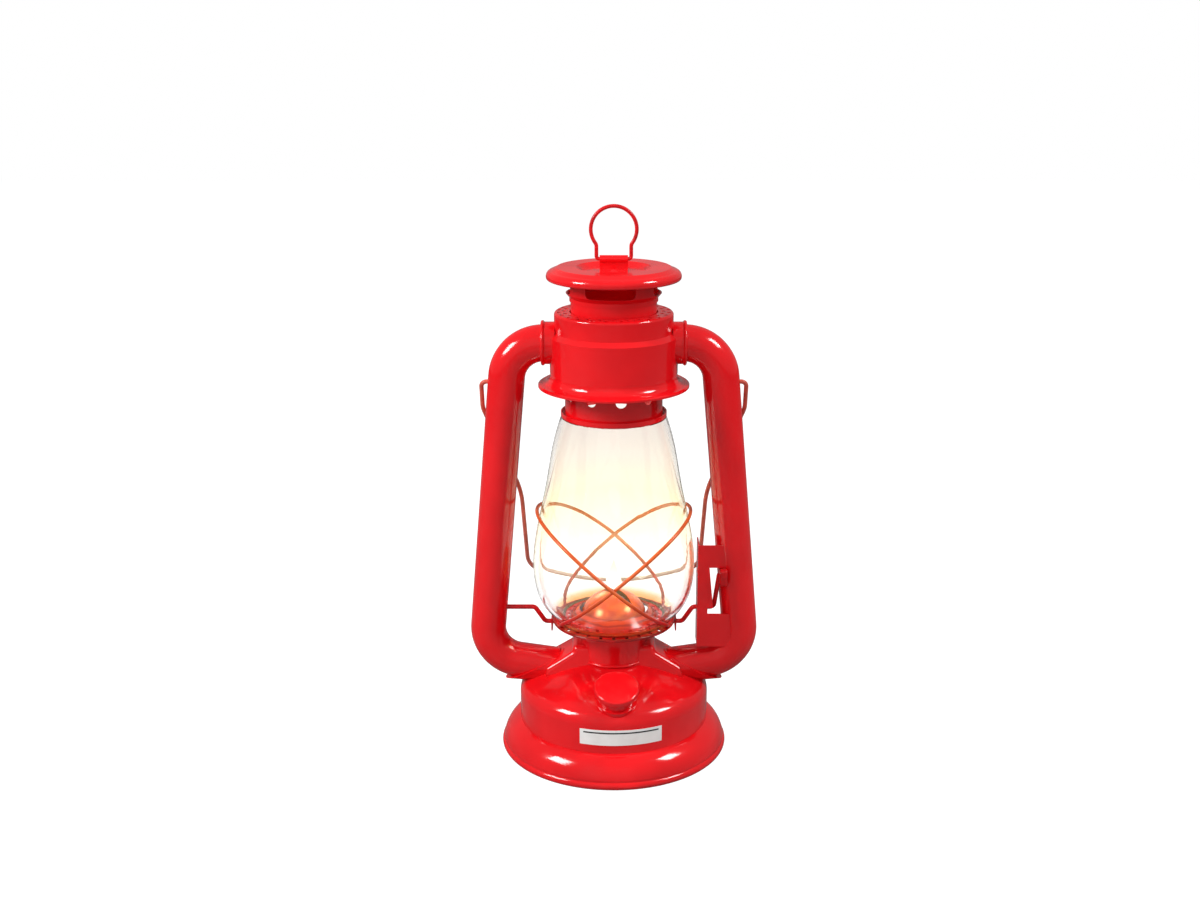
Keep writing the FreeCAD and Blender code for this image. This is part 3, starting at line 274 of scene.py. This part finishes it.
# Flat cotton wick: woven ribs about 1 mm apart, charred at the top.
def wickFinish():
    wick = {"cotton": "#E9E2CE", "char": "#24120C", "rib": 1.1, "charFrom": 79.0, "charTo": 83.0}
    material, tree = newMaterial("wovenCotton")
    coords = put(tree, "ShaderNodeTexCoord")
    axes = put(tree, "ShaderNodeSeparateXYZ", links={"Vector": coords.outputs["Object"]})
    burnt = put(tree, "ShaderNodeMapRange",
                {"From Min": wick["charFrom"] * mm, "From Max": wick["charTo"] * mm},
                {"Value": axes.outputs["Z"]})
    colour = ramp(tree, burnt.outputs["Result"], 0.0, 1.0, linear(wick["cotton"]), linear(wick["char"]))
    weave = put(tree, "ShaderNodeTexWave",
                {"wave_type": "BANDS", "bands_direction": "DIAGONAL", "Scale": 1 / (wick["rib"] * mm) / 3.2,
                 "Distortion": 1.5, "Detail": 2.0},
                {"Vector": coords.outputs["Object"]})
    bump = put(tree, "ShaderNodeBump", {"Strength": 0.8, "Distance": 0.3 * mm},
               {"Height": weave.outputs["Fac"]})
    shader = put(tree, "ShaderNodeBsdfPrincipled", {"Roughness": 0.9, "Sheen Weight": 0.3},
                 {"Base Color": colour.outputs["Color"], "Normal": bump.outputs["Normal"]})
    finishMaterial(tree, shader)
    return material


# Vinyl label: satin white film.
def labelFinish():
    material, tree = newMaterial("whiteVinyl")
    colour = ramp(tree, grain(tree, 6.0).outputs["Fac"], 0.3, 0.7, linear("#EFEFEC"), linear("#F8F8F6"))
    shader = put(tree, "ShaderNodeBsdfPrincipled", {"Roughness": 0.38, "IOR": 1.46},
                 {"Base Color": colour.outputs["Color"]})
    finishMaterial(tree, shader)
    return material


# Black printing ink, matt, for the label's line.
def inkFinish():
    material, tree = newMaterial("blackInk")
    colour = ramp(tree, grain(tree, 1.0).outputs["Fac"], 0.3, 0.7, linear("#141414"), linear("#222222"))
    shader = put(tree, "ShaderNodeBsdfPrincipled", {"Roughness": 0.5}, {"Base Color": colour.outputs["Color"]})
    finishMaterial(tree, shader)
    return material


# Pressed cork: warm brown granules about 1.5 mm across.
def corkFinish():
    material, tree = newMaterial("pressedCork")
    colour = ramp(tree, grain(tree, 1.5, 5.0).outputs["Fac"], 0.35, 0.65, linear("#8A5F38"), linear("#C79A66"))
    shader = put(tree, "ShaderNodeBsdfPrincipled", {"Roughness": 0.85}, {"Base Color": colour.outputs["Color"]})
    finishMaterial(tree, shader)
    return material


# A kerosene flame: near white low down, a little yellower towards its tip.
def flameFinish():
    flame = {"core": "#FFFBEA", "tip": "#FFF0B8", "low": 88, "high": 112, "strength": 1.6}
    material, tree = newMaterial("keroseneFlame")
    coords = put(tree, "ShaderNodeTexCoord")
    axes = put(tree, "ShaderNodeSeparateXYZ", links={"Vector": coords.outputs["Object"]})
    share = put(tree, "ShaderNodeMapRange",
                {"From Min": flame["low"] * mm, "From Max": flame["high"] * mm}, {"Value": axes.outputs["Z"]})
    colour = ramp(tree, share.outputs["Result"], 0.2, 1.0, linear(flame["core"]), linear(flame["tip"]))
    shader = put(tree, "ShaderNodeEmission", {"Strength": flame["strength"]},
                 {"Color": colour.outputs["Color"]})
    finishMaterial(tree, shader)
    return material


finishes = {
    "enamel": redEnamelFinish(), "wire": redWireFinish("redDippedWire", "#DA1219", "#AE1318"),
    "bailWire": redWireFinish("wornDippedWire", "#D8604E", "#C05040", "#E6D2C4"),
    "flameLitWire": flameLitWireFinish(),
    "glass": globeGlassFinish(), "brass": brassFinish("drawnBrass", "#D9A441", "#9C5E1E"),
    # The burner body and wick tube are a near-black brown: painted shade, for the dark slot in the cone.
    "brassPaintedShade": brassFinish("brassPaintedShade", "#5A2A18", "#33120C"), "flameLitCone": flameLitConeFinish(),
    "flameLitPlate": flameLitPlateFinish(),
    "zinc": zincFinish(), "wick": wickFinish(), "label": labelFinish(), "ink": inkFinish(),
    "cork": corkFinish(), "flame": flameFinish(),
}
print("finishes ready")

cadFinishes = {
    "wire": ["lift_ring", "lift_lever", "left_crank"],
    "bailWire": ["bail"],
    "flameLitWire": ["guard_wire_a", "guard_wire_b"],
    "glass": ["globe"],
    "brass": ["wick_spindle", "wick_sprocket_1", "wick_sprocket_2", "wick_sprocket_3"],
    "brassPaintedShade": ["burner_body", "wick_tube"],
    "flameLitCone": ["burner_cone"],
    "flameLitPlate": ["globe_plate"],
    "zinc": ["air_trough", "wick_knob"],
    "wick": ["wick"],
    "label": ["fill_label"],
    "cork": ["cap_gasket"],
}


def dressCadNodes():
    finishOf = {name: finish for finish, names in cadFinishes.items() for name in names}
    for name, piece in nodes.items():
        piece.data.materials.clear()
        piece.data.materials.append(finishes[finishOf.get(name, "enamel")])


dressCadNodes()
print("frame dressed")


# Puts a mesh in the scene, gives it a finish and lets it ride on a body.
def addPiece(name, mesh, finish, body, sharpAt=35):
    for face in mesh.polygons:
        face.use_smooth = True
    mesh.set_sharp_from_angle(angle=math.radians(sharpAt))
    mesh.materials.append(finishes[finish])
    piece = bpy.data.objects.new(name, mesh)
    bpy.context.scene.collection.objects.link(piece)
    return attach(piece, body)


# The flame stands on the wick, flat across it and drawn to a point.
def makeFlame():
    flame = {"foot": 92.0, "height": 18.0, "width": 6.4, "thickness": 2.4, "rings": 26, "sides": 36,
             "azimuth": -45}
    shape = bmesh.new()
    rings = []
    turn = math.radians(flame["azimuth"])
    for ring in range(1, flame["rings"]):
        share = ring / flame["rings"]
        swell = math.sin(math.pi * share ** 0.62) * (1 - 0.35 * share)
        row = []
        for side in range(flame["sides"]):
            angle = 2 * math.pi * side / flame["sides"]
            across = flame["width"] * swell * math.cos(angle) * mm
            through = flame["thickness"] * swell * math.sin(angle) * mm
            row.append(shape.verts.new((across * math.cos(turn) - through * math.sin(turn),
                                        across * math.sin(turn) + through * math.cos(turn),
                                        (flame["foot"] + flame["height"] * share) * mm)))
        rings.append(row)
    foot = shape.verts.new((0, 0, flame["foot"] * mm))
    tip = shape.verts.new((0, 0, (flame["foot"] + flame["height"]) * mm))
    for here, beyond in zip(rings, rings[1:]):
        for side in range(flame["sides"]):
            after = (side + 1) % flame["sides"]
            shape.faces.new((here[side], here[after], beyond[after], beyond[side]))
    for side in range(flame["sides"]):
        after = (side + 1) % flame["sides"]
        shape.faces.new((rings[0][after], rings[0][side], foot))
        shape.faces.new((rings[-1][side], rings[-1][after], tip))
    bmesh.ops.recalc_face_normals(shape, faces=shape.faces)
    mesh = bpy.data.meshes.new("flame")
    shape.to_mesh(mesh)
    shape.free()
    addPiece("flame", mesh, "flame", "wick", 180)


# The fill label carries nothing but one thin line.
def makeFillLine():
    line = {"wall": 53.2, "film": 0.15, "azimuth": -85.5, "arc": 42.0, "low": 28.9, "high": 29.7, "lift": 0.04,
            "steps": 40}
    face = line["wall"] + line["film"]
    shape = bmesh.new()
    half = line["arc"] / face / 2
    columns = []
    for step in range(line["steps"] + 1):
        angle = math.radians(line["azimuth"]) + half * (2 * step / line["steps"] - 1)
        columns.append([shape.verts.new((r * math.cos(angle) * mm, r * math.sin(angle) * mm, z * mm))
                        for r, z in ((face, line["low"]), (face + line["lift"], line["low"]),
                                     (face + line["lift"], line["high"]), (face, line["high"]))])
    for here, beyond in zip(columns, columns[1:]):
        for k in range(4):
            after = (k + 1) % 4
            shape.faces.new((here[k], here[after], beyond[after], beyond[k]))
    shape.faces.new(columns[0][::-1])
    shape.faces.new(columns[-1])
    bmesh.ops.recalc_face_normals(shape, faces=shape.faces)
    mesh = bpy.data.meshes.new("fillLine")
    shape.to_mesh(mesh)
    shape.free()
    addPiece("fillLine", mesh, "ink", "frame")


makeFlame()
makeFillLine()
print("flame and fill line made")


# Camera, fitted to the photograph: 1200 by 900, with its middle a little off the lens axis.
def placeCamera():
    shot = {"distance": 800.6, "height": 402.0, "down": 17.817, "focus": 1529.0, "width": 1200, "depth": 900,
            "middleX": 613.8, "middleY": 500.0, "sensor": 36.0}
    lens = bpy.data.cameras.new("camera")
    lens.sensor_width = shot["sensor"]
    lens.lens = shot["focus"] / shot["width"] * shot["sensor"]
    lens.shift_x = (shot["width"] / 2 - shot["middleX"]) / shot["width"]
    lens.shift_y = (shot["middleY"] - shot["depth"] / 2) / shot["width"]
    lens.clip_start = 0.05
    camera = bpy.data.objects.new("camera", lens)
    camera.location = (0, -shot["distance"] * mm, shot["height"] * mm)
    camera.rotation_euler = (math.radians(90 - shot["down"]), 0, 0)
    bpy.context.scene.collection.objects.link(camera)
    bpy.context.scene.camera = camera


# Each panel's name, place, size and power, and whether it shows in glossy surfaces.
def placeLamps():
    lamps = [
        ("keyPanel", (-0.95, -0.42, 0.86), 0.42, 12.0, True),
        ("sidePanel", (0.92, -0.22, 1.06), 0.36, 9.5, True),
        ("frontPanel", (-0.30, -1.50, 0.80), 1.40, 8.2, False),
        ("topPanel", (0.05, 0.05, 1.25), 0.40, 2.0, False),
        ("rearPanel", (-0.45, 0.95, 0.70), 0.40, 2.5, False),
    ]
    target = Vector((0, 0, 0.15))
    flameLamp = {"power": 0.09, "colour": "#FF8030", "radius": 0.004, "height": 0.116}
    for name, place, size, power, inGloss in lamps:
        light = bpy.data.lights.new(name, "AREA")
        light.size = size
        light.energy = power
        lamp = bpy.data.objects.new(name, light)
        lamp.location = place
        lamp.rotation_euler = (target - Vector(place)).to_track_quat("-Z", "Y").to_euler()
        lamp.visible_glossy = inGloss
        bpy.context.scene.collection.objects.link(lamp)
    glow = bpy.data.lights.new("flameGlow", "POINT")
    glow.energy = flameLamp["power"]
    glow.color = linear(flameLamp["colour"])[:3]
    glow.shadow_soft_size = flameLamp["radius"]
    lamp = bpy.data.objects.new("flameGlow", glow)
    lamp.location = (0, 0, flameLamp["height"])
    lamp.visible_camera = False
    lamp.visible_transmission = False
    lamp.visible_glossy = False
    bpy.context.scene.collection.objects.link(lamp)


# One where the camera sees a surface, also through glass.
def seenRay(tree):
    path = put(tree, "ShaderNodeLightPath")
    return put(tree, "ShaderNodeMath", {"operation": "MAXIMUM"},
               {0: path.outputs["Is Camera Ray"], 1: path.outputs["Is Transmission Ray"]})


# The world lights softly, and is white only where the camera sees it, also through glass.
def placeWorld():
    world = bpy.data.worlds.new("paleRoom")
    bpy.context.scene.world = world
    world.use_nodes = True
    tree = world.node_tree
    tree.nodes.clear()
    softLight = 0.28
    dim = put(tree, "ShaderNodeBackground", {"Color": linear("#FFFFFF"), "Strength": softLight})
    white = put(tree, "ShaderNodeBackground", {"Color": linear("#FFFFFF"), "Strength": 1.0})
    mix = put(tree, "ShaderNodeMixShader",
              links={0: seenRay(tree).outputs[0], 1: dim.outputs[0], 2: white.outputs[0]})
    put(tree, "ShaderNodeOutputWorld", links={"Surface": mix.outputs[0]})


# White paper that keeps only a faint shadow of the lantern. The light that it sends back is that of a
# mid grey, so the enamel stays red.
def placeFloor():
    reach = 3.0
    paperShare = 0.25
    backdropShare = 0.93
    mesh = bpy.data.meshes.new("floor")
    mesh.from_pydata([(-reach, -reach, 0), (reach, -reach, 0), (reach, reach, 0), (-reach, reach, 0)], [],
                     [(0, 1, 2, 3)])
    floor = bpy.data.objects.new("floor", mesh)
    bpy.context.scene.collection.objects.link(floor)
    material, tree = newMaterial("palePaper")
    colour = ramp(tree, grain(tree, 90.0).outputs["Fac"], 0.3, 0.7, linear("#7A7A7A"), linear("#828282"))
    matt = put(tree, "ShaderNodeBsdfDiffuse", links={"Color": colour.outputs["Color"]})
    faint = put(tree, "ShaderNodeBsdfDiffuse", {"Color": grey(paperShare)})
    backdrop = put(tree, "ShaderNodeEmission", {"Color": linear("#FFFFFF"), "Strength": backdropShare})
    white = put(tree, "ShaderNodeAddShader", links={0: faint.outputs[0], 1: backdrop.outputs[0]})
    mix = put(tree, "ShaderNodeMixShader",
              links={0: seenRay(tree).outputs[0], 1: matt.outputs[0], 2: white.outputs[0]})
    finishMaterial(tree, mix)
    mesh.materials.append(material)


placeCamera()
placeLamps()
placeWorld()
placeFloor()
scene = bpy.context.scene
scene.view_settings.view_transform = "Standard"
print("camera, lamps and floor placed")
